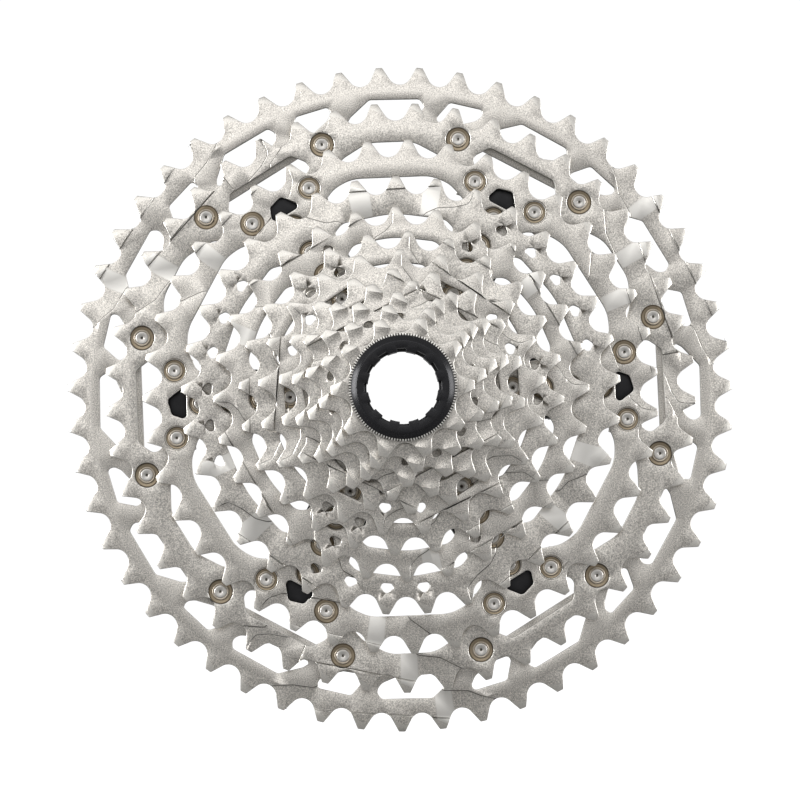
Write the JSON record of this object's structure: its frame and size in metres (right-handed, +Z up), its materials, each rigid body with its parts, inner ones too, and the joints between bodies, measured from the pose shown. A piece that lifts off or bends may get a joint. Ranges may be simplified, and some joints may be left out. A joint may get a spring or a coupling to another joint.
{
  "type": "bicycle cassette",
  "caption": "Stack of toothed sprockets on a stepped carrier, splined to slide onto a bicycle freehub and clamped by a threaded lock ring.",
  "frame": {"origin": "on the axle, in the plane where the carrier's back face rests on the freehub's shoulder", "axes": "+Y along the axle towards the hub, so the small sprockets and the lock ring face -Y; +Z up"},
  "size_m": [0.2092, 0.0452, 0.2091],
  "materials": {
    "nickel_plate": "fine blasted nickel plate",
    "black_anodised": "satin black anodised",
    "rivet_steel": "turned bright",
    "collar_steel": "plain",
    "spacer_anodised": "satin black anodised",
    "washer_steel": "bright plated",
    "lock_ring_black": "semi-gloss black anodised"
  },
  "bodies": {
    "root": {"sprocket_51": "nickel_plate", "sprocket_45": "nickel_plate", "sprocket_39": "nickel_plate", "sprocket_33": "nickel_plate", "sprocket_28": "nickel_plate", "sprocket_24": "nickel_plate", "carrier": "black_anodised", "rivets_51_45": "rivet_steel", "rivets_45_39": "rivet_steel", "rivets_39_carrier": "rivet_steel", "rivets_33_carrier": "rivet_steel", "rivets_28_carrier": "rivet_steel", "rivets_24_carrier": "rivet_steel", "collars_51_45": "collar_steel", "collars_45_39": "collar_steel"},
    "step_21": {"sprocket_21": "nickel_plate"},
    "step_18": {"spacer_21_18": "spacer_anodised", "sprocket_18": "nickel_plate"},
    "step_16": {"spacer_18_16": "spacer_anodised", "sprocket_16": "nickel_plate"},
    "step_14": {"spacer_16_14": "spacer_anodised", "sprocket_14": "nickel_plate"},
    "step_12": {"sprocket_12": "nickel_plate"},
    "step_10": {"sprocket_10": "nickel_plate"},
    "washer": {"lock_ring_washer": "washer_steel"},
    "ring": {"lock_ring": "lock_ring_black"}
  },
  "joints": [
    {"name": "pull_off_21", "type": "slide", "parent": "root", "child": "step_21", "axis": [0, -1, 0], "range_m": [0, 0.012]},
    {"name": "pull_off_18", "type": "slide", "parent": "step_21", "child": "step_18", "axis": [0, -1, 0], "range_m": [0, 0.008]},
    {"name": "pull_off_16", "type": "slide", "parent": "step_18", "child": "step_16", "axis": [0, -1, 0], "range_m": [0, 0.008]},
    {"name": "pull_off_14", "type": "slide", "parent": "step_16", "child": "step_14", "axis": [0, -1, 0], "range_m": [0, 0.008]},
    {"name": "pull_off_12", "type": "slide", "parent": "step_14", "child": "step_12", "axis": [0, -1, 0], "range_m": [0, 0.008]},
    {"name": "pull_off_10", "type": "slide", "parent": "step_12", "child": "step_10", "axis": [0, -1, 0], "range_m": [0, 0.008]},
    {"name": "washer_travel", "type": "slide", "parent": "step_10", "child": "washer", "axis": [0, -1, 0], "range_m": [0, 0.0061]},
    {"name": "lock_ring_turn", "type": "hinge", "parent": "washer", "child": "ring", "pos_m": [0, -0.0425, 0], "axis": [0, -1, 0], "range_deg": [0, 2160]}
  ],
  "couplings": [
    {"joint": "washer_travel", "follows": "lock_ring_turn", "m_per_rad": 0.00015915}
  ]
}
